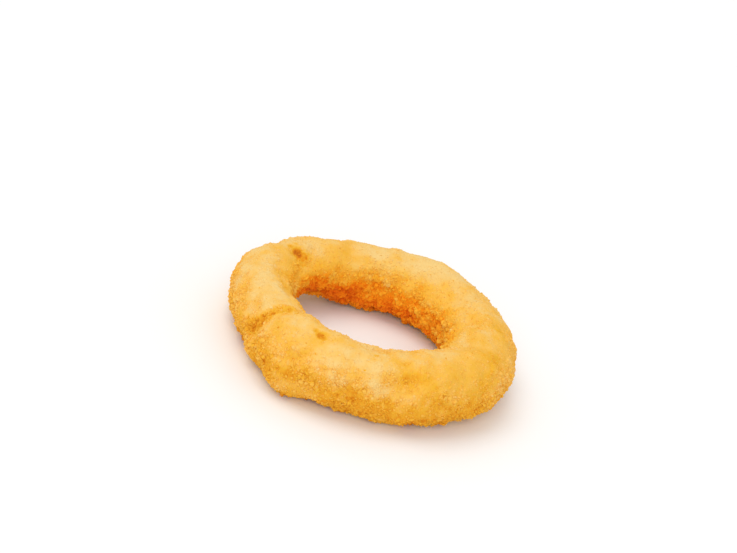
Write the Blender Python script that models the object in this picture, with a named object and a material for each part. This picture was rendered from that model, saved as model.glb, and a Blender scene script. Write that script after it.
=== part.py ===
"""One crumbed and fried onion ring, lying flat on its underside.

A fat, slightly uneven ring of crumbed crust round a loop of onion, with a round hole through it.
Sizes are in metres and +Z is up. The origin is the middle of the ring's footprint, on the surface
that it lies on. Directions round the ring are in degrees, counted from +X towards +Y, and
directions round the crust's section from the outside over the top.
"""
import math

import bpy
from mathutils import Vector, noise

RING_NAME = "onion_ring"

# The even ring: its outside and its hole are near-round ovals, and its section is an oval too.
RING_LENGTH = 0.0745
RING_WIDTH = 0.0715
HOLE_LENGTH = 0.0379
HOLE_WIDTH = 0.0380
RING_HEIGHT = 0.0180
MIDDLE_RADIUS = 0.25 * (RING_LENGTH + HOLE_LENGTH)

# The crust flattened where the ring rests.
REST_DEPTH = 0.0003

# Places where the crust stands out from the even ring or falls short of it:
# direction, spread and height of each swelling.
OUTER_SWELLINGS = (
    (240.0, 14.0, 0.0025),  # blunt corner at the front left
    (210.0, 18.0, -0.0015),  # flat stretch to the left of that corner
    (336.0, 25.0, 0.0005),
    (61.0, 29.0, 0.0004),
    (128.0, 24.0, -0.0006),
    (176.0, 20.0, 0.0004),
)
HOLE_SWELLINGS = (
    (176.0, 28.0, 0.0027),  # the hole runs out to a blunt point on the left
    (298.0, 30.0, -0.0001),
)
TOP_SWELLINGS = (
    (227.0, 23.0, 0.0004),
    (122.0, 36.0, -0.0012),
)
# The ring is a little wavy, so its underside stands clear of the surface at the back left.
UNDERSIDE_RISE = (146.0, 26.0, 0.0027)

# Crust relief: broad lumps of batter, knobs on them, and clumps of crumbs.
LUMP_SPACING = 0.0150
LUMP_HEIGHT = 0.00100
KNOB_SPACING = 0.0062
KNOB_HEIGHT = 0.00080
CLUMP_SPACING = 0.0041
CLUMP_HEIGHT = 0.00095
CLUMP_LEVEL = 0.45
# The relief is lower on the underside: the share of it that is left there, the slope of the
# surface where it grows to the whole, and over how much slope it does so.
UNDERSIDE_RELIEF = 0.60
UNDERSIDE_SLOPE = -0.75
UNDERSIDE_FADE = 0.50
LUMP_START = Vector((0.31, 0.17, 0.53))
KNOB_START = Vector((4.7, 1.9, 2.3))
CLUMP_START = Vector((7.1, 3.3, 5.9))

# The crack that runs across the crust at the front left, where the coating closed on itself.
# It slants up the outer side and is straight from the crest on. Its lips stand beside it, at
# CRACK_LIP_PLACE times its width from its line.
CRACK_OUTER_DIRECTION = 216.0
CRACK_TOP_DIRECTION = 227.0
CRACK_START = -10.0
CRACK_END = 118.0
CRACK_FADE = 14.0
CRACK_SLANT = 1.35
CRACK_WIDTH = 0.0019
CRACK_DEPTH = 0.00055
CRACK_LIP = 0.00022
CRACK_LIP_PLACE = 1.8

# Small pits in the crust and crumbs massed on it: direction round the ring, direction round the
# section, width, and how far the crust sinks in.
PITS = (
    (156.0, 103.0, 0.0022, 0.00070),
    (249.0, 76.0, 0.0017, 0.00050),
    (242.0, -42.0, 0.0060, -0.00110),
    (262.0, -30.0, 0.0035, -0.00060),
    (144.0, -128.0, 0.0060, 0.00120),
    (274.0, 112.0, 0.0060, 0.00070),
)

# The net of faces: how many run round the ring and how many round its section.
FACES_ROUND_RING = 148
FACES_ROUND_SECTION = 40
SHARP_ANGLE = 60.0

CRUST_COLOUR = (0.90, 0.50, 0.115, 1.0)
CRUST_ROUGHNESS = 0.58


def turn_between(direction, centre):
    """Signed angle in degrees from centre to direction, the short way round."""
    return (direction - centre + 180.0) % 360.0 - 180.0


def swelling(direction, places):
    """Sum of the rounded swellings at a direction round the ring."""
    return sum(
        height * math.exp(-((turn_between(direction, centre) / spread) ** 2))
        for centre, spread, height in places
    )


def oval_radius(length, width, direction):
    """Distance from the middle of an oval to its rim."""
    turn = math.radians(direction)
    along = width * math.cos(turn)
    across = length * math.sin(turn)
    return 0.5 * length * width / math.hypot(along, across)


def section_at(direction):
    """Middle radius, half width, half height and lift of the crust's section."""
    outer = oval_radius(RING_LENGTH, RING_WIDTH, direction) + swelling(direction, OUTER_SWELLINGS)
    inner = oval_radius(HOLE_LENGTH, HOLE_WIDTH, direction) + swelling(direction, HOLE_SWELLINGS)
    height = RING_HEIGHT + swelling(direction, TOP_SWELLINGS)
    rise = swelling(direction, (UNDERSIDE_RISE,))
    return 0.5 * (outer + inner), 0.5 * (outer - inner), 0.5 * (height - rise), rise


def fade_in(value, start, width):
    """Rise smoothly from 0 to 1 as value passes start."""
    share = min(max((value - start) / width + 0.5, 0.0), 1.0)
    return share * share * (3.0 - 2.0 * share)


def lumps(point):
    """Height of the uneven crust over the even ring."""
    broad = LUMP_HEIGHT * noise.noise(point / LUMP_SPACING + LUMP_START)
    knobs = KNOB_HEIGHT * noise.noise(point / KNOB_SPACING + KNOB_START)
    nearest = noise.voronoi(point / CLUMP_SPACING + CLUMP_START)[0][0]
    return broad + knobs + CLUMP_HEIGHT * (CLUMP_LEVEL - nearest)


def crack(direction, section_turn, radius):
    """Depth of the crack, less the lips that the crust raises beside it."""
    share = (section_turn - CRACK_START) / (CRACK_END - CRACK_START)
    line = CRACK_OUTER_DIRECTION + (CRACK_TOP_DIRECTION - CRACK_OUTER_DIRECTION) * math.sin(
        0.5 * math.pi * min(max(CRACK_SLANT * share, 0.0), 1.0)
    )
    away = math.radians(turn_between(direction, line)) * radius / CRACK_WIDTH
    kept = fade_in(section_turn, CRACK_START, CRACK_FADE)
    kept *= 1.0 - fade_in(section_turn, CRACK_END, CRACK_FADE)
    groove = CRACK_DEPTH * math.exp(-(away**2))
    lips = CRACK_LIP * math.exp(-((abs(away) - CRACK_LIP_PLACE) ** 2))
    return kept * (groove - lips)


def pits(direction, section_turn, radius, half_height):
    """Depth of the small pits."""
    depth = 0.0
    for pit_direction, pit_turn, pit_width, pit_depth in PITS:
        along = math.radians(turn_between(direction, pit_direction)) * radius
        across = math.radians(turn_between(section_turn, pit_turn)) * half_height
        depth += pit_depth * math.exp(-((math.hypot(along, across) / pit_width) ** 2))
    return depth


def crust_point(direction, section_turn):
    """Place of the crust at one direction round the ring and one round its section."""
    middle, half_width, half_height, rise = section_at(direction)
    turn = math.radians(section_turn)
    outward = Vector((math.cos(math.radians(direction)), math.sin(math.radians(direction)), 0.0))
    up = Vector((0.0, 0.0, 1.0))
    radius = middle + half_width * math.cos(turn)
    base = outward * radius + up * (rise + half_height * (1.0 + math.sin(turn)))
    facing = outward * (math.cos(turn) / half_width) + up * (math.sin(turn) / half_height)
    facing.normalize()
    shown = fade_in(facing.z, UNDERSIDE_SLOPE, UNDERSIDE_FADE)
    height = (UNDERSIDE_RELIEF + (1.0 - UNDERSIDE_RELIEF) * shown) * lumps(base)
    height -= crack(direction, (section_turn + 90.0) % 360.0 - 90.0, radius)
    height -= pits(direction, section_turn, radius, half_height)
    point = base + facing * height
    point.z = max(point.z - REST_DEPTH, 0.0)
    return point


def make_ring():
    """The whole ring as one closed body."""
    bpy.ops.mesh.primitive_torus_add(
        major_segments=FACES_ROUND_RING,
        minor_segments=FACES_ROUND_SECTION,
        major_radius=MIDDLE_RADIUS,
        minor_radius=0.5 * RING_HEIGHT,
    )
    ring = bpy.context.active_object
    ring.name = RING_NAME
    ring.data.name = RING_NAME
    for vertex in ring.data.vertices:
        x, y, z = vertex.co
        direction = math.degrees(math.atan2(y, x))
        section_turn = math.degrees(math.atan2(z, math.hypot(x, y) - MIDDLE_RADIUS))
        vertex.co = crust_point(direction, section_turn)
    low = [min(vertex.co[axis] for vertex in ring.data.vertices) for axis in range(3)]
    high = [max(vertex.co[axis] for vertex in ring.data.vertices) for axis in range(3)]
    centre = Vector((0.5 * (low[0] + high[0]), 0.5 * (low[1] + high[1]), 0.0))
    for vertex in ring.data.vertices:
        vertex.co -= centre
    return ring


def crust_material():
    """Dry golden crumb crust."""
    material = bpy.data.materials.new("crumb_crust")
    material.use_nodes = True
    shader = material.node_tree.nodes["Principled BSDF"]
    shader.inputs["Base Color"].default_value = CRUST_COLOUR
    shader.inputs["Roughness"].default_value = CRUST_ROUGHNESS
    shader.inputs["Metallic"].default_value = 0.0
    return material


for leftover in list(bpy.data.objects):
    bpy.data.objects.remove(leftover, do_unlink=True)

collection = bpy.data.collections.new(RING_NAME)
bpy.context.scene.collection.children.link(collection)

ring = make_ring()
ring.data.materials.append(crust_material())
for holder in list(ring.users_collection):
    holder.objects.unlink(ring)
collection.objects.link(ring)

bpy.context.view_layer.objects.active = ring
ring.select_set(True)
bpy.ops.object.shade_smooth()
ring.data.set_sharp_from_angle(angle=math.radians(SHARP_ANGLE))
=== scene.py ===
import math

import bmesh
import bpy
import numpy as np
from mathutils import Matrix, Vector, noise
from mathutils.bvhtree import BVHTree


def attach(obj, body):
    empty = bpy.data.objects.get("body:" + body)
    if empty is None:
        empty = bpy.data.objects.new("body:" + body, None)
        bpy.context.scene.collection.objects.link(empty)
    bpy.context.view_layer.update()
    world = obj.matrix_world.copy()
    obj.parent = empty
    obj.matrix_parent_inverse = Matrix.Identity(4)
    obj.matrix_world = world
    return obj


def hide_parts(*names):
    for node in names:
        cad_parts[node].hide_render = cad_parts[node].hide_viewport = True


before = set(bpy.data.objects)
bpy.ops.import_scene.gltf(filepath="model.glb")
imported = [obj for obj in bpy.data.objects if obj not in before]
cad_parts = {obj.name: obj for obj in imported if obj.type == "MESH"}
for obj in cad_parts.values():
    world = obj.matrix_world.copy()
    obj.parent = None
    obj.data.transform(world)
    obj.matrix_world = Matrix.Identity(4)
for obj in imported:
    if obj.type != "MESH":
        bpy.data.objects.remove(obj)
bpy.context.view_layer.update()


# The crumb crust: batter and dry breadcrumbs fried round a loop of onion, one unbroken coat.
# It keeps the solid's form and adds what that is too coarse for: packed crumbs on the batter,
# bare smoother patches between them, the ragged crack at the front left and small scorched pits.

# How many faces run round the ring and round its section, and the circle inside the crust that
# the section is measured from. The solid's flat faces are smoothed away a few times over.
CRUST_COLUMNS = 560
CRUST_ROWS = 164
CORE_RADIUS = 0.0282
CORE_HEIGHT = 0.0090
CORE_CENTRE = Vector((0.0, 0.0006, 0.0))
FACET_SMOOTHING = 5

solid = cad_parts["onion_ring"]
solid_surface = BVHTree.FromPolygons(
    [vertex.co[:] for vertex in solid.data.vertices],
    [tuple(face.vertices) for face in solid.data.polygons],
)

turns = np.linspace(0.0, 2.0 * math.pi, CRUST_COLUMNS, endpoint=False)
section_turns = np.linspace(0.0, 2.0 * math.pi, CRUST_ROWS, endpoint=False)
outward = np.stack([np.cos(turns), np.sin(turns), 0.0 * turns], axis=-1)
core = np.array(CORE_CENTRE) + outward * CORE_RADIUS + [0.0, 0.0, CORE_HEIGHT]
facing = outward[:, None] * np.cos(section_turns)[None, :, None]
facing = facing + np.array([0.0, 0.0, 1.0]) * np.sin(section_turns)[None, :, None]

reach = np.empty((CRUST_COLUMNS, CRUST_ROWS))
for column in range(CRUST_COLUMNS):
    for row in range(CRUST_ROWS):
        hit = solid_surface.ray_cast(Vector(core[column]), Vector(facing[column, row]))
        reach[column, row] = hit[3]
for _ in range(FACET_SMOOTHING):
    for axis in (0, 1):
        reach = 0.25 * (np.roll(reach, 1, axis) + 2.0 * reach + np.roll(reach, -1, axis))
skin = core[:, None] + reach[..., None] * facing


def normals_of(grid):
    """Outward directions of a closed grid of points, round the ring and round its section."""
    along = np.roll(grid, -1, 0) - np.roll(grid, 1, 0)
    across = np.roll(grid, -1, 1) - np.roll(grid, 1, 1)
    across_both = np.cross(along, across)
    return across_both / np.linalg.norm(across_both, axis=-1, keepdims=True)


def step(value, start, end):
    """Rise smoothly from 0 at start to 1 at end."""
    share = np.clip((value - start) / (end - start), 0.0, 1.0)
    return share * share * (3.0 - 2.0 * share)


# A pattern of noise is moved along by its start, and by these shares of it across and up.
START_ACROSS, START_UP = 0.37, 0.71
# Packed grains: the height of the lowest beside the tallest, the gap between two and how far
# each rounds off, both as shares of their spacing, and the step that tells their heights apart.
LOWEST_GRAIN = 0.35
GRAIN_GAP = 0.40
GRAIN_ROUNDING = 0.45
HEIGHT_STEP = 41.3


def noise_places(places, spacing, start):
    """Where places lie in the noise, for a pattern of the given spacing and start."""
    shift = Vector((start, START_ACROSS * start, START_UP * start))
    return [Vector(place) + shift for place in places.reshape(-1, 3) / spacing]


def field(places, spacing, start):
    """Smooth noise over places, about -1 to 1."""
    values = [noise.noise(place) for place in noise_places(places, spacing, start)]
    return np.array(values).reshape(places.shape[:-1])


def packed(places, spacing, start):
    """Packed rounded grains: 0 in the gaps between them and up to 1 on the tallest."""
    heights = []
    for place in noise_places(places, spacing, start):
        distances, centres = noise.voronoi(place)
        gap = distances[1] - distances[0]
        tall = LOWEST_GRAIN + (1.0 - LOWEST_GRAIN) * noise.cell(centres[0] * HEIGHT_STEP)
        rounded = 1.0 - GRAIN_ROUNDING * distances[0]
        heights.append(tall * min(1.0, gap / GRAIN_GAP) * rounded)
    return np.array(heights).reshape(places.shape[:-1])


# The hole's wall and the sides, told by how far the crust faces into the hole and upward: each
# pair of slopes is where a change starts and ends.
WALL_INWARD, WALL_UPWARD = (0.25, 0.90), (0.12, 0.66)
SIDES_UPWARD = (0.10, 0.80)
skin_normals = normals_of(skin)
upward = skin_normals[..., 2]
inward = -(skin_normals * outward[:, None]).sum(-1)
wall = step(inward, *WALL_INWARD) * (1.0 - step(upward, *WALL_UPWARD))
sides = 1.0 - step(upward, *SIDES_UPWARD)
turn_degrees = np.degrees(turns)[:, None]
row_degrees = np.degrees(section_turns)[None, :]


def spot(place_turn, place_row, turn_spread, row_spread):
    """A rounded spot on the coat, 1 in its middle, by its direction round the ring, its direction
    round the section and its spread both ways, all in degrees."""
    along = ((turn_degrees - place_turn + 180.0) % 360.0 - 180.0) / turn_spread
    across = ((row_degrees - place_row + 180.0) % 360.0 - 180.0) / row_spread
    return np.exp(-(along**2) - across**2)


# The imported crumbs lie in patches, thinner between them, and thinnest in one bare spot low at the
# front. A pattern is given by its spacing and its start in the noise, then by the levels of the
# noise between which it grows.
PATCHES, PATCH_LEVELS = (0.0105, 3.1), (-0.25, 0.30)
BARE_RELIEF = 0.35
BARE_SPOT = (284.0, 12.0, 9.0, 14.0)
BARE_SPOT_LOSS = 0.65
patches = step(field(skin, *PATCHES), *PATCH_LEVELS)
crumb_cover = BARE_RELIEF + (1.0 - BARE_RELIEF) * patches
crumb_cover = crumb_cover * (1.0 - BARE_SPOT_LOSS * spot(*BARE_SPOT))

# The grains and waves of the relief: spacing and start, height, and how much of a grain's height
# lies under the skin. They stand higher on the sides and in the hole.
CLUMPS, CLUMP_HEIGHT, CLUMP_DEPTH = (0.0026, 11.0), 0.00034, 0.40
CRUMBS, CRUMB_HEIGHT, CRUMB_DEPTH = (0.00115, 23.0), 0.00022, 0.35
WAVES, WAVE_HEIGHT = (0.0045, 27.5), 0.00028
WALL_CLUMPS, WALL_HEIGHT, WALL_DEPTH = (0.0024, 37.0), 0.00070, 0.40
SIDE_RELIEF = 1.30
clumps = packed(skin, *CLUMPS)
crumbs = packed(skin, *CRUMBS)
wall_clumps = packed(skin, *WALL_CLUMPS)
fine_height = CLUMP_HEIGHT * (1.0 + SIDE_RELIEF * sides) * (clumps - CLUMP_DEPTH)
fine_height = crumb_cover * (fine_height + CRUMB_HEIGHT * (crumbs - CRUMB_DEPTH))
fine_height = fine_height + WAVE_HEIGHT * (1.0 + sides) * field(skin, *WAVES)
fine_height = fine_height + WALL_HEIGHT * wall * (wall_clumps - WALL_DEPTH)

# Swellings and dents of the batter: the spot of each and how far it stands out.
SWELLINGS = (
    (278.0, 34.0, 6.0, 24.0, 0.00042),
    (269.0, 8.0, 4.5, 11.0, -0.00048),
    (293.0, 46.0, 5.0, 16.0, -0.00030),
    (262.0, 30.0, 7.0, 18.0, 0.00022),
    (306.0, 40.0, 7.0, 22.0, 0.00030),
    (238.0, 40.0, 7.0, 20.0, 0.00030),
    (209.0, 55.0, 9.0, 26.0, 0.00026),
    (281.0, 350.0, 9.0, 18.0, 0.00070),
)
for *place, height in SWELLINGS:
    fine_height = fine_height + height * spot(*place)

# Clumps of crumbs hang out along the lower edge, a little above the surface, on the crust that
# faces down and aside.
EDGE_LEVEL, EDGE_SPREAD = 0.0024, 0.0020
EDGE_UNDER, EDGE_OVER = (-0.95, -0.55), (0.0, 0.35)
EDGE_PARTS, EDGE_PART_LEVELS = (0.0065, 31.9), (-0.20, 0.25)
EDGE_CLUMPS, EDGE_HEIGHT, EDGE_DEPTH = (0.0032, 19.0), 0.00060, 0.20
edge = np.exp(-(((skin[..., 2] - EDGE_LEVEL) / EDGE_SPREAD) ** 2)) * step(upward, *EDGE_UNDER)
edge = edge * (1.0 - step(upward, *EDGE_OVER))
edge = edge * step(field(skin, *EDGE_PARTS), *EDGE_PART_LEVELS)
fine_height = fine_height + EDGE_HEIGHT * edge * (packed(skin, *EDGE_CLUMPS) - EDGE_DEPTH)

# Torn crumbs stand along the rim of the hole, most of all at the front.
LIP_SPOT = (280.0, 122.0, 50.0, 15.0)
LIP_LEAST = 0.40
LIP_PARTS, LIP_PART_LEVELS = (0.0050, 21.3), (-0.30, 0.30)
LIP_CRUMBS, LIP_HEIGHT, LIP_DEPTH = (0.0016, 43.0), 0.00085, 0.40
lip_parts = step(field(skin, *LIP_PARTS), *LIP_PART_LEVELS)
lip = spot(*LIP_SPOT) * (LIP_LEAST + (1.0 - LIP_LEAST) * lip_parts)
fine_height = fine_height + LIP_HEIGHT * lip * (packed(skin, *LIP_CRUMBS) - LIP_DEPTH)

# The crack: it climbs the outer side and crosses the top towards the hole, broken and crumbly.
# By direction round the section in degrees: the direction of its line round the ring, how open it
# is, and how far from its line the crust is frayed. Its line strays from there a little.
CRACK_ROWS = (-16.0, -6.0, 10.0, 24.0, 31.0, 42.0, 52.0, 62.0, 76.0, 92.0, 108.0)
CRACK_TURNS = (213.5, 215.0, 216.8, 219.0, 220.5, 221.0, 221.4, 222.0, 223.2, 225.0, 227.0)
CRACK_OPENING = (0.0, 0.75, 0.82, 0.82, 0.75, 1.0, 1.0, 1.0, 0.95, 0.80, 0.30)
CRACK_FRAY = (
    0.0020, 0.0021, 0.0021, 0.0020, 0.0017, 0.0015, 0.0015, 0.0015, 0.0014, 0.0014, 0.0014,
)
CRACK_WIDTH = 0.00080
CRACK_DEPTH = 0.00030
CRACK_STRAY, CRACK_STRAY_WIDTH = (0.0034, 5.3), 0.0010
upper_rows = (row_degrees + 90.0) % 360.0 - 90.0
crack_line = np.interp(upper_rows, CRACK_ROWS, CRACK_TURNS)
crack_open = np.interp(upper_rows, CRACK_ROWS, CRACK_OPENING)
crack_fray = np.interp(upper_rows, CRACK_ROWS, CRACK_FRAY)
ring_radius = np.hypot(skin[..., 0], skin[..., 1])
crack_away = np.radians(turn_degrees - crack_line) * ring_radius
crack_away = crack_away + CRACK_STRAY_WIDTH * field(skin, *CRACK_STRAY)
crack = crack_open * np.exp(-((crack_away / CRACK_WIDTH) ** 2))
crack_edge = crack_open * np.exp(-((crack_away / crack_fray) ** 4))

# The small scorched pits and specks: directions round the ring and round its section in degrees,
# widths both ways, and how scorched they are. Their outlines are ragged.
PITS = (
    (154.6, 103.0, 0.00155, 0.00210, 0.73),
    (248.6, 77.0, 0.00145, 0.00130, 0.57),
    (245.2, 78.0, 0.00052, 0.00052, 0.52),
    (276.0, 81.0, 0.00058, 0.00055, 0.60),
    (212.5, 14.0, 0.00060, 0.00055, 0.40),
    (222.0, 28.0, 0.00050, 0.00070, 0.30),
    (223.5, 45.0, 0.00045, 0.00050, 0.28),
    (222.5, 58.0, 0.00055, 0.00045, 0.30),
    (230.0, 87.0, 0.00060, 0.00045, 0.34),
    (233.0, 347.0, 0.00075, 0.00060, 0.40),
    (265.0, 351.0, 0.00060, 0.00055, 0.36),
    (270.2, 347.0, 0.00080, 0.00055, 0.36),
)
PIT_DEPTH = 0.00022
PIT_OUTLINE, PIT_RAGGEDNESS = (0.0010, 8.8), 0.7
pits = np.zeros_like(reach)
scorch = np.zeros_like(reach)
ragged = 1.0 + PIT_RAGGEDNESS * field(skin, *PIT_OUTLINE)
for pit_turn, pit_row, pit_length, pit_width, pit_scorch in PITS:
    along = np.radians(turn_degrees - pit_turn) * ring_radius / pit_length
    across = np.radians(row_degrees - pit_row) * reach / pit_width
    pit = np.exp(-(np.hypot(along, across) * ragged) ** 2)
    pits = np.maximum(pits, pit)
    scorch = np.maximum(scorch, pit_scorch * pit)

coat = skin + skin_normals * (fine_height - CRACK_DEPTH * crack - PIT_DEPTH * pits)[..., None]
coat[..., 2] = np.maximum(coat[..., 2], 0.0)
coat_normals = normals_of(coat)

# How far each place has fried, from 0, pale, to 1, brown, with painted light and shade laid on it.
# The crest, which faces the light, is painted palest, and the sides, the shoulder above the hole
# and the hole itself are painted darker where shade falls, the hole most of all low down.
CREST_TONE = 0.11
SIDE_SHADE, SIDE_SHADE_UPWARD = 0.23, (-0.30, 0.85)
SHOULDER_SHADE, SHOULDER_INWARD = 0.09, (0.12, 0.55)
HOLE_SHADE = 0.03
DEEP_SHADE, DEEP_DOWNWARD, DEEP_MIDDLE = 0.14, (-0.35, 0.40), 0.25
# Uneven frying: spacing and start of each pattern, and how much it changes the tone.
UNEVEN_TONES = ((0.013, 1.7, 0.10), (0.0052, 6.1, 0.14), (0.0022, 14.3, 0.11))
# Painted shade and light: the gaps between clumps and crumbs are painted darker than their tops.
SIDE_GAP_SHADE, HOLE_GAP_SHADE, CLUMP_MIDDLE = 0.16, 0.36, 0.42
CRUMB_GAP_SHADE, CRUMB_MIDDLE = 0.10, 0.45
# The crumbs along the underside and those of the crack are browned, here more and there less.
RIM_TONE, RIM_LEVEL, RIM_SPREAD = 0.28, 0.0012, 0.0014
RIM_PARTS, RIM_PART_LEVELS = (0.004, 9.9), (-0.2, 0.4)
CRACK_TONE, CRACK_CONTRAST, CRACK_SPECKS = 0.30, 0.24, (0.0013, 12.1)
# Places darker or paler than the rest, partly uneven frying and partly painted shade and light,
# such as painted shade low in the hole and on the underside at the lower right: the spot of each
# and how much darker it is.
FRYING_AND_SHADE_PLACES = (
    (324.0, 48.0, 26.0, 32.0, 0.17),
    (298.0, 45.0, 15.0, 26.0, 0.12),
    (60.0, 98.0, 18.0, 26.0, -0.15),
    (165.0, 88.0, 14.0, 20.0, 0.06),
    (203.0, 89.0, 2.2, 5.0, -0.30),
    (197.0, 62.0, 18.0, 26.0, -0.05),
    (238.0, 76.0, 9.0, 14.0, -0.08),
    (140.0, 180.0, 34.0, 20.0, 0.05),
    (155.0, 140.0, 22.0, 18.0, 0.06),
    (281.0, 44.0, 7.0, 22.0, -0.10),
    (294.0, 54.0, 5.0, 8.0, 0.08),
    (340.0, 70.0, 16.0, 30.0, 0.12),
    (85.0, 141.0, 40.0, 14.0, -0.08),
    (120.0, 92.0, 12.0, 14.0, 0.06),
    (228.0, 50.0, 12.0, 22.0, 0.06),
    (245.0, -4.0, 9.0, 10.0, 0.12),
    (270.0, 0.0, 7.0, 9.0, 0.06),
    (335.0, 52.0, 10.0, 20.0, 0.10),
    (190.0, 116.0, 30.0, 16.0, 0.06),
    (280.0, 12.0, 12.0, 14.0, -0.13),
    (200.0, 66.0, 26.0, 22.0, -0.06),
    (10.0, 85.0, 30.0, 35.0, 0.06),
    (86.0, 117.0, 3.5, 5.0, 0.16),
    (110.0, 206.0, 75.0, 30.0, 0.30),
    (18.0, 165.0, 26.0, 24.0, 0.08),
    (92.0, 118.0, 26.0, 13.0, -0.06),
    (138.0, 165.0, 8.0, 10.0, -0.10),
    (88.0, 163.0, 14.0, 10.0, -0.07),
    (279.0, 20.0, 5.0, 10.0, -0.08),
    (266.0, 326.0, 7.0, 10.0, 0.07),
    (12.0, 112.0, 12.0, 14.0, 0.08),
    (185.0, 66.0, 12.0, 16.0, 0.04),
    (122.0, 126.0, 14.0, 12.0, 0.06),
    (250.0, 344.0, 10.0, 14.0, -0.06),
    (171.0, 124.0, 13.0, 15.0, -0.06),
    (97.0, 149.0, 12.0, 15.0, -0.18),
    (66.0, 128.0, 12.0, 14.0, -0.08),
    (76.0, 82.0, 10.0, 14.0, -0.05),
    (194.0, 4.0, 18.0, 26.0, -0.10),
    (216.0, 98.0, 13.0, 14.0, -0.07),
    (340.0, 124.0, 18.0, 14.0, -0.09),
    (10.0, 72.0, 14.0, 22.0, 0.07),
    (155.0, 160.0, 6.0, 11.0, 0.20),
    (127.0, 166.0, 7.0, 8.0, 0.10),
    (30.0, 190.0, 17.0, 16.0, -0.20),
    (350.0, 6.0, 9.0, 12.0, -0.08),
    (333.0, 27.0, 9.0, 12.0, 0.06),
    (316.0, 57.0, 5.0, 10.0, -0.13),
    (243.0, 65.0, 5.0, 14.0, -0.09),
    (276.0, 14.0, 4.0, 9.0, 0.10),
    (219.0, 74.0, 5.0, 22.0, -0.07),
    (244.5, 357.0, 4.0, 6.0, 0.16),
    (257.0, 2.0, 7.0, 10.0, -0.06),
    (264.0, 36.0, 5.0, 10.0, -0.08),
    (230.0, 6.0, 6.0, 12.0, -0.09),
    (91.0, 124.0, 16.0, 10.0, -0.06),
    (290.0, 73.0, 8.0, 8.0, 0.05),
    (186.0, 54.0, 12.0, 14.0, 0.05),
    (334.0, 68.0, 8.0, 9.0, 0.06),
    (239.0, 326.0, 8.0, 12.0, -0.18),
    (302.0, 328.0, 24.0, 16.0, 0.12),
)
tone = CREST_TONE
for spacing, start, amount in UNEVEN_TONES:
    tone = tone + amount * field(skin, spacing, start)
# Painted shade: darker on the sides, in the hole, on the shoulder and low in the hole, and in the
# gaps between clumps, whose tops are painted lighter.
tone = tone + SIDE_SHADE * (1.0 - step(upward, *SIDE_SHADE_UPWARD)) + HOLE_SHADE * wall
tone = tone + SHOULDER_SHADE * step(inward, *SHOULDER_INWARD) * (1.0 - wall)
tone = tone - SIDE_GAP_SHADE * sides * (1.0 - wall) * (clumps - CLUMP_MIDDLE)
tone = tone + DEEP_SHADE * wall * (step(-upward, *DEEP_DOWNWARD) - DEEP_MIDDLE)
tone = tone - HOLE_GAP_SHADE * wall * (wall_clumps - CLUMP_MIDDLE)
# Painted shade and light, with uneven frying, at the listed places.
for *place, amount in FRYING_AND_SHADE_PLACES:
    tone = tone + amount * spot(*place)
rim = np.exp(-(((skin[..., 2] - RIM_LEVEL) / RIM_SPREAD) ** 2))
rim = rim * step(field(skin, *RIM_PARTS), *RIM_PART_LEVELS)
tone = tone + RIM_TONE * rim
tone = tone + crack_edge * (CRACK_TONE + CRACK_CONTRAST * field(skin, *CRACK_SPECKS)) + scorch
# Painted shade in the gaps between packed crumbs, then the tone is kept between 0 and 1.
tone = np.clip(tone + CRUMB_GAP_SHADE * (CRUMB_MIDDLE - crumbs) * crumb_cover, 0.0, 1.0)

# The hole's colours, painted bounce light and shade, come in where the crust turns into the hole,
# but not in a scorched pit.
HOLE_INWARD = (0.32, 0.88)
in_hole = step(inward, *HOLE_INWARD) * (1.0 - scorch)


def grid_mesh(name, grid):
    """A closed mesh of four-sided faces over a grid that joins itself both ways round."""
    columns, rows = grid.shape[:2]
    index = np.arange(columns * rows).reshape(columns, rows)
    corners = [index, np.roll(index, -1, 0)]
    corners += [np.roll(corners[1], -1, 1), np.roll(index, -1, 1)]
    faces = np.stack(corners, axis=-1).reshape(-1, 4)
    mesh = bpy.data.meshes.new(name)
    mesh.from_pydata(grid.reshape(-1, 3).tolist(), [], faces.tolist())
    return mesh


def add_piece(name, mesh, tones, inner):
    """Put a mesh in the scene as a piece of the ring, with how far each point has fried, with
    painted shade and light laid on that, and how deep it lies in the hole, which brings painted
    shade."""
    piece = bpy.data.objects.new(name, mesh)
    bpy.context.scene.collection.objects.link(piece)
    for attribute, values in (("fried", tones), ("in_hole", inner)):
        layer = mesh.attributes.new(attribute, "FLOAT", "POINT")
        layer.data.foreach_set("value", np.ascontiguousarray(values, dtype=np.float32).ravel())
    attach(piece, "root")
    return piece


class Value:
    """A socket in a material. Sums, differences and products of values add Math nodes."""

    def __init__(self, finish, socket):
        self.finish = finish
        self.socket = socket

    def worked(self, operation, first, second):
        return self.finish.node("ShaderNodeMath", {"operation": operation}, {0: first, 1: second})

    def __add__(self, other):
        return self.worked("ADD", self, other)

    def __radd__(self, other):
        return self.worked("ADD", other, self)

    def __sub__(self, other):
        return self.worked("SUBTRACT", self, other)

    def __rsub__(self, other):
        return self.worked("SUBTRACT", other, self)

    def __mul__(self, other):
        return self.worked("MULTIPLY", self, other)

    def __rmul__(self, other):
        return self.worked("MULTIPLY", other, self)


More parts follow.
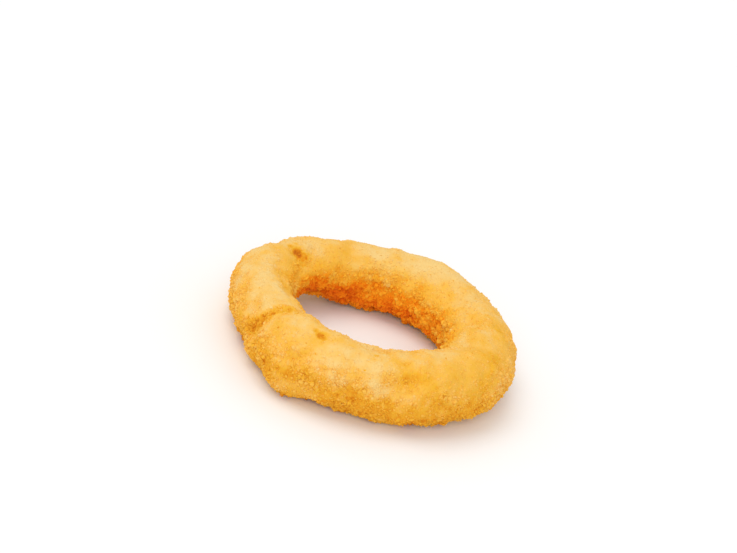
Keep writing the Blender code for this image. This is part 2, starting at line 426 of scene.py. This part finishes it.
class Finish:
    """A new material. Every node in it is added by node()."""

    def __init__(self, name):
        self.material = bpy.data.materials.new(name)
        self.material.use_nodes = True
        self.tree = self.material.node_tree
        self.shader = self.tree.nodes["Principled BSDF"]

    def node(self, kind, settings, sockets, output=0):
        made = self.tree.nodes.new(kind)
        for name, setting in settings.items():
            if name == "stops":
                self.set_stops(made.color_ramp, setting)
            else:
                setattr(made, name, setting)
        for name, value in sockets.items():
            self.feed(made.inputs[name], value)
        return Value(self, made.outputs[output])

    def set_stops(self, ramp, stops):
        while len(ramp.elements) < len(stops):
            ramp.elements.new(1.0)
        for element, (position, colour) in zip(ramp.elements, stops):
            element.position = position
            element.color = (*colour, 1.0)

    def mix(self, share, first, second):
        """Mix two colours by a share."""
        return self.node("ShaderNodeMix", {"data_type": "RGBA"}, {0: share, 6: first, 7: second}, 2)

    def feed(self, socket, value):
        if isinstance(value, Value):
            self.tree.links.new(value.socket, socket)
        else:
            socket.default_value = value

    def set(self, name, value):
        self.feed(self.shader.inputs[name], value)

    def noise(self, spacing, detail, roughness):
        place = self.node("ShaderNodeTexCoord", {}, {}, "Object")
        sockets = {"Vector": place, "Scale": 1.0 / spacing, "Detail": detail}
        return self.node("ShaderNodeTexNoise", {}, {**sockets, "Roughness": roughness})

    def grains(self, spacing):
        place = self.node("ShaderNodeTexCoord", {}, {}, "Object")
        sockets = {"Vector": place, "Scale": 1.0 / spacing, "Randomness": 1.0}
        return self.node("ShaderNodeTexVoronoi", {"feature": "F1"}, sockets, "Distance")


# Colours of fried crumb, from pale to scorched, as stops of how far it has fried. Outside it
# browns. The hole's copy, a deeper and clearer orange, is painted bounce light and shade.
FRIED_COLOURS = (
    (0.00, (0.880, 0.605, 0.222)),
    (0.20, (0.900, 0.513, 0.094)),
    (0.40, (0.860, 0.450, 0.034)),
    (0.60, (0.785, 0.325, 0.015)),
    (0.80, (0.640, 0.185, 0.008)),
    (1.00, (0.330, 0.075, 0.006)),
)
HOLE_SHADE_COLOURS = (
    (0.00, (0.915, 0.595, 0.150)),
    (0.20, (0.930, 0.530, 0.070)),
    (0.40, (0.935, 0.475, 0.034)),
    (0.60, (0.950, 0.355, 0.012)),
    (0.80, (0.900, 0.235, 0.008)),
    (1.00, (0.700, 0.110, 0.005)),
)
# Specks in the colour, oilier and drier places, and the grit that only the light brings out, each
# by the spacing, detail and roughness of its noise. The grains under the grit have a spacing alone.
SPECKS, NOISE_MIDDLE = (0.0009, 3.0, 0.6), 0.5
OILY_PLACES, OILY_ROUGHNESS, DRY_CHANGE = (0.0022, 2.0, 0.6), 0.45, 0.30
GRIT, GRIT_SHARE = (0.00038, 4.0, 0.65), 0.6
GRAIN_SPACING, GRAIN_SHARE = 0.00060, 0.5
BUMP_STRENGTH = 0.55
OIL_SHEEN = 0.05


def crumb_finish(name, lift, speckle, bump_height):
    """Fried crumb: its colour follows how far it has fried, with painted shade and light laid on
    that, and with specks. In the hole it takes a shaded copy of its colours. It is dry, with a
    faint sheen of oil."""
    finish = Finish(name)
    fried = finish.node("ShaderNodeAttribute", {"attribute_name": "fried"}, {}, "Fac")
    colour_place = fried + lift + (finish.noise(*SPECKS) - NOISE_MIDDLE) * speckle
    outside = finish.node("ShaderNodeValToRGB", {"stops": FRIED_COLOURS}, {"Fac": colour_place})
    # The hole's shaded copy of the colours: painted bounce light and shade.
    inside = finish.node("ShaderNodeValToRGB", {"stops": HOLE_SHADE_COLOURS}, {"Fac": colour_place})
    hole_share = finish.node("ShaderNodeAttribute", {"attribute_name": "in_hole"}, {}, "Fac")
    finish.set("Base Color", finish.mix(hole_share, outside, inside))
    finish.set("Roughness", OILY_ROUGHNESS + finish.noise(*OILY_PLACES) * DRY_CHANGE)
    finish.set("Specular IOR Level", OIL_SHEEN)
    relief = GRIT_SHARE * finish.noise(*GRIT)
    relief = relief + (1.0 - finish.grains(GRAIN_SPACING)) * GRAIN_SHARE
    sockets = {"Height": relief, "Strength": BUMP_STRENGTH, "Distance": bump_height}
    finish.set("Normal", finish.node("ShaderNodeBump", {}, sockets))
    return finish.material


crust = add_piece("crust", grid_mesh("crust", coat), tone, in_hole)
crust.data.shade_smooth()
crust.data.materials.append(
    crumb_finish("crumbed_batter", lift=0.0, speckle=0.12, bump_height=0.00030)
)
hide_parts("onion_ring")


# Loose dry crumbs caught in the coat: broken irregular grains, half sunk in the batter.
# Most fried golden, some stayed pale, and a few browned at the crack, the pits and the underside.

# The form of a grain: how uneven it is, how wide and thick it is beside its length, and how much
# commoner the small ones are.
GRAIN_JITTER = 0.28
GRAIN_WIDTHS, GRAIN_THICKNESSES = (0.55, 1.0), (0.40, 0.85)
SMALL_BIAS = 1.8
# How far the middle of a grain stands out of the coat on the crest and on the sides, as a share of
# its size, and how much is added in the hole and on its torn rim. None are put on the underside,
# and none reach the surface that the ring lies on.
CREST_RISE, SIDE_RISE, RISE_UPWARD = -0.22, 0.04, (0.05, 0.90)
WALL_RISE = -0.04
LIP_RISE = 0.24
UNDERSIDE_LIMIT = -0.80
SURFACE_GAP = 0.00005
# How much darker a grain is painted at its foot, painted shade where it sinks into the coat, and
# how far it goes over to the coat's tone in the hole.
FOOT_SHADE = 0.11
WALL_TONE_SHARE = 0.7
chance = np.random.default_rng(29)


def form_of(make, **shape):
    """Corners and faces of a plain closed form, as arrays."""
    form = bmesh.new()
    make(form, **shape)
    bmesh.ops.triangulate(form, faces=form.faces)
    points = np.array([vertex.co[:] for vertex in form.verts])
    faces = np.array([[vertex.index for vertex in face.verts] for face in form.faces])
    form.free()
    return points, faces


GRAIN_FORM = form_of(bmesh.ops.create_icosphere, subdivisions=1, radius=0.5)
DUST_FORM = form_of(bmesh.ops.create_uvsphere, u_segments=4, v_segments=2, radius=0.55)
CHUNK_FORM = form_of(bmesh.ops.create_icosphere, subdivisions=2, radius=0.5)

flat_coat = coat.reshape(-1, 3)
flat_normals = coat_normals.reshape(-1, 3)
flat_tone = tone.reshape(-1)
flat_wall = wall.reshape(-1)
flat_in_hole = in_hole.reshape(-1)
row_steps = np.roll(coat, -1, 1) - coat
column_steps = np.roll(coat, -1, 0) - coat
room = np.linalg.norm(row_steps, axis=-1) * np.linalg.norm(column_steps, axis=-1)
room = room.reshape(-1) * (flat_normals[:, 2] > UNDERSIDE_LIMIT)
row_steps = row_steps.reshape(-1, 3)
column_steps = column_steps.reshape(-1, 3)
raised = CREST_RISE + (SIDE_RISE - CREST_RISE) * (1.0 - step(upward, *RISE_UPWARD)).reshape(-1)
raised = raised + WALL_RISE * flat_wall + LIP_RISE * lip.reshape(-1)


def turned(count):
    """As many random rotations, as 3 by 3 matrices."""
    w, x, y, z = np.moveaxis(chance.normal(size=(count, 4)), 1, 0)
    length = np.sqrt(w * w + x * x + y * y + z * z)
    w, x, y, z = w / length, x / length, y / length, z / length
    rows = [
        [1 - 2 * (y * y + z * z), 2 * (x * y - z * w), 2 * (x * z + y * w)],
        [2 * (x * y + z * w), 1 - 2 * (x * x + z * z), 2 * (y * z - x * w)],
        [2 * (x * z - y * w), 2 * (y * z + x * w), 1 - 2 * (x * x + y * y)],
    ]
    return np.moveaxis(np.array(rows), 2, 0)


def scatter(
    name, form, count, likely, smallest, largest, wall_growth, tone_share, tone_spread, material
):
    """Broken grains of one kind over the coat, thickest where likely is high. They are larger in
    the hole by wall_growth, take tone_share of the coat's tone and differ by tone_spread."""
    form_points, form_faces = form
    corners = len(form_points)
    weight = room * likely
    spots = chance.choice(len(flat_coat), size=count, replace=False, p=weight / weight.sum())
    sizes = smallest + (largest - smallest) * chance.random(count) ** SMALL_BIAS
    sizes = sizes * (1.0 + wall_growth * flat_wall[spots])
    widths = chance.uniform(*GRAIN_WIDTHS, count)
    thicknesses = chance.uniform(*GRAIN_THICKNESSES, count)
    stretch = np.stack([np.ones(count), widths, thicknesses], -1)
    shapes = 1.0 + GRAIN_JITTER * chance.uniform(-1, 1, (count, corners, 1))
    shapes = np.einsum("nij,nkj->nki", turned(count), form_points[None] * shapes * stretch[:, None])
    aside = chance.random((count, 2, 1))
    centres = flat_coat[spots] + row_steps[spots] * aside[:, 0] + column_steps[spots] * aside[:, 1]
    centres = centres + flat_normals[spots] * (sizes * raised[spots])[:, None]
    points = (centres[:, None] + shapes * sizes[:, None, None]).reshape(-1, 3)
    points[:, 2] = np.maximum(points[:, 2], SURFACE_GAP)
    faces = form_faces[None] + corners * np.arange(count)[:, None, None]
    mesh = bpy.data.meshes.new(name)
    mesh.from_pydata(points.tolist(), [], faces.reshape(-1, 3).tolist())
    share = tone_share + WALL_TONE_SHARE * (1.0 - tone_share) * flat_wall[spots]
    tones = share * flat_tone[spots] + tone_spread * chance.uniform(-1.0, 1.0, count)
    buried = -np.einsum("nki,ni->nk", shapes, flat_normals[spots])
    # Painted shade: the deeper a corner of a grain sinks below the coat, the darker it is.
    tones = tones[:, None] + FOOT_SHADE * buried
    inner = np.repeat(flat_in_hole[spots], corners)
    piece = add_piece(name, mesh, np.clip(tones, 0.0, 1.0), inner)
    piece.data.materials.append(material)


def gathered(shares):
    """Parts of the coat added up, each by its share."""
    return sum(share * part for part, share in shares).reshape(-1)


# How likely a grain of each kind is: anywhere, and more so in these parts of the coat.
GOLDEN_ANYWHERE = 0.30
PALE_ANYWHERE, PALE_IN_HOLE = 0.40, 0.5
FINE_ANYWHERE = 1.0
CHUNK_ANYWHERE = 0.04
CHUNK_COVERED = ((sides, 0.45), (wall, 0.65))
CHUNK_STANDING = ((edge, 0.60), (crack_edge, 0.50), (lip, 0.40))
BROWNED_ANYWHERE, BROWNED_POWER = 0.018, 1.5
BROWNED_PARTS = ((crack_edge, 1.0), (scorch, 1.2), (rim, 0.25), (lip, 0.10))
flat_cover = crumb_cover.reshape(-1)
scatter(
    "golden_crumbs", GRAIN_FORM, count=9800, likely=GOLDEN_ANYWHERE + flat_cover,
    smallest=0.00045, largest=0.00115, wall_growth=0.25, tone_share=1.0, tone_spread=0.06,
    material=crumb_finish("golden_crumb", lift=0.0, speckle=0.08, bump_height=0.00010),
)
scatter(
    "pale_crumbs", GRAIN_FORM, count=7000,
    likely=PALE_ANYWHERE + flat_cover + PALE_IN_HOLE * flat_wall,
    smallest=0.00040, largest=0.00100, wall_growth=0.45, tone_share=0.75, tone_spread=0.05,
    material=crumb_finish("pale_crumb", lift=0.0, speckle=0.08, bump_height=0.00010),
)
scatter(
    "fine_crumbs", DUST_FORM, count=22000, likely=FINE_ANYWHERE,
    smallest=0.00035, largest=0.00065, wall_growth=0.10, tone_share=0.95, tone_spread=0.07,
    material=crumb_finish("fine_crumb", lift=0.0, speckle=0.06, bump_height=0.00006),
)
scatter(
    "crumb_chunks", CHUNK_FORM, count=2300,
    likely=CHUNK_ANYWHERE + gathered(CHUNK_COVERED) * flat_cover**2 + gathered(CHUNK_STANDING),
    smallest=0.00075, largest=0.00150, wall_growth=0.50, tone_share=0.90, tone_spread=0.08,
    material=crumb_finish("crumb_chunk", lift=0.0, speckle=0.12, bump_height=0.00020),
)
scatter(
    "browned_crumbs", GRAIN_FORM, count=440,
    likely=BROWNED_ANYWHERE + gathered(BROWNED_PARTS) ** BROWNED_POWER,
    smallest=0.00040, largest=0.00095, wall_growth=0.0, tone_share=0.5, tone_spread=0.10,
    material=crumb_finish("browned_crumb", lift=0.40, speckle=0.12, bump_height=0.00010),
)


# The setting: a plain white sweep that the ring lies on, in the even light of a white room.
# The sweep lies a hair below the ring, so that the two never share a surface.

FLOOR_SIZE = 3.0
FLOOR_DROP = 0.00002
FLOOR_COLOUR = (0.96, 0.96, 0.96, 1.0)
FLOOR_ROUGHNESS = 0.9
FLOOR_SHEEN = 0.1
ROOM_COLOUR = (1.0, 1.0, 1.0, 1.0)
ROOM_LIGHT = 0.70
bpy.ops.mesh.primitive_plane_add(size=FLOOR_SIZE, location=(0.0, 0.0, -FLOOR_DROP))
floor = bpy.context.active_object
floor.name = "floor"
floor_finish = Finish("white_floor")
floor_finish.set("Base Color", FLOOR_COLOUR)
floor_finish.set("Roughness", FLOOR_ROUGHNESS)
floor_finish.set("Specular IOR Level", FLOOR_SHEEN)
floor.data.materials.append(floor_finish.material)

world = bpy.data.worlds.new("studio")
world.use_nodes = True
room_light = world.node_tree.nodes["Background"]
room_light.inputs["Color"].default_value = ROOM_COLOUR
room_light.inputs["Strength"].default_value = ROOM_LIGHT
bpy.context.scene.world = world
bpy.context.scene.view_settings.view_transform = "Standard"

# The camera looks down on the ring's plane and is turned a little about its own line of sight.
# The picture's scale and the ring's place in it are those of the photograph.
PICTURE_WIDTH, PICTURE_HEIGHT = 737, 553
METRES_PER_PIXEL = 0.0002525
CAMERA_DISTANCE = 0.50
CAMERA_ELEVATION = math.radians(28.6)
CAMERA_ROLL = math.radians(17.2)
RING_PIXEL = (372.2, 326.3)
RING_POINT = Vector((0.00002, -0.00058, 0.0090))
SENSOR_WIDTH = 36.0
NEAREST_SEEN = 0.01

back = Vector((0.0, -math.cos(CAMERA_ELEVATION), math.sin(CAMERA_ELEVATION)))
level_right = Vector((1.0, 0.0, 0.0))
level_up = back.cross(level_right)
right = math.cos(CAMERA_ROLL) * level_right + math.sin(CAMERA_ROLL) * level_up
up = math.cos(CAMERA_ROLL) * level_up - math.sin(CAMERA_ROLL) * level_right
middle = RING_POINT + right * METRES_PER_PIXEL * (0.5 * PICTURE_WIDTH - RING_PIXEL[0])
middle = middle - up * METRES_PER_PIXEL * (0.5 * PICTURE_HEIGHT - RING_PIXEL[1])

camera = bpy.data.objects.new("camera", bpy.data.cameras.new("camera"))
bpy.context.scene.collection.objects.link(camera)
camera.data.sensor_width = SENSOR_WIDTH
camera.data.lens = SENSOR_WIDTH * CAMERA_DISTANCE / (METRES_PER_PIXEL * PICTURE_WIDTH)
camera.data.clip_start = NEAREST_SEEN
camera.location = RING_POINT + back * CAMERA_DISTANCE
sight = (camera.location - middle).normalized()
side = up.cross(sight).normalized()
camera.matrix_world = Matrix.Translation(camera.location) @ Matrix(
    (side, sight.cross(side), sight)
).transposed().to_4x4()
bpy.context.scene.camera = camera

# Three soft lights: a broad key from above and a little to the front, a fill from beside the
# camera, and a weak one from above and behind.
LIGHT_DISTANCE = 1.0
KEY_BREADTH = math.radians(45.0)
WARM_WHITE = (1.0, 0.985, 0.96)
SOFT_WHITE = (1.0, 0.99, 0.975)


def soft_light(name, kind, direction, strength, colour):
    """A soft light on the ring, placed by right, up and towards the camera."""
    lamp = bpy.data.objects.new(name, bpy.data.lights.new(name, kind))
    bpy.context.scene.collection.objects.link(lamp)
    lamp.data.energy = strength
    lamp.data.color = colour
    line = (direction[0] * right + direction[1] * up + direction[2] * back).normalized()
    lamp.location = RING_POINT + line * LIGHT_DISTANCE
    lamp.rotation_euler = line.to_track_quat("Z", "Y").to_euler()
    return lamp


def round_light(name, direction, strength, size):
    """A soft light with a round face."""
    lamp = soft_light(name, "AREA", direction, strength, SOFT_WHITE)
    lamp.data.shape = "DISK"
    lamp.data.size = size


key = soft_light("key", "SUN", direction=(-0.08, 0.88, 0.42), strength=0.775, colour=WARM_WHITE)
key.data.angle = KEY_BREADTH
round_light("fill", direction=(0.00, 0.05, 1.00), strength=2.45, size=0.6)
round_light("rear", direction=(0.28, 0.90, -0.34), strength=0.7, size=0.8)
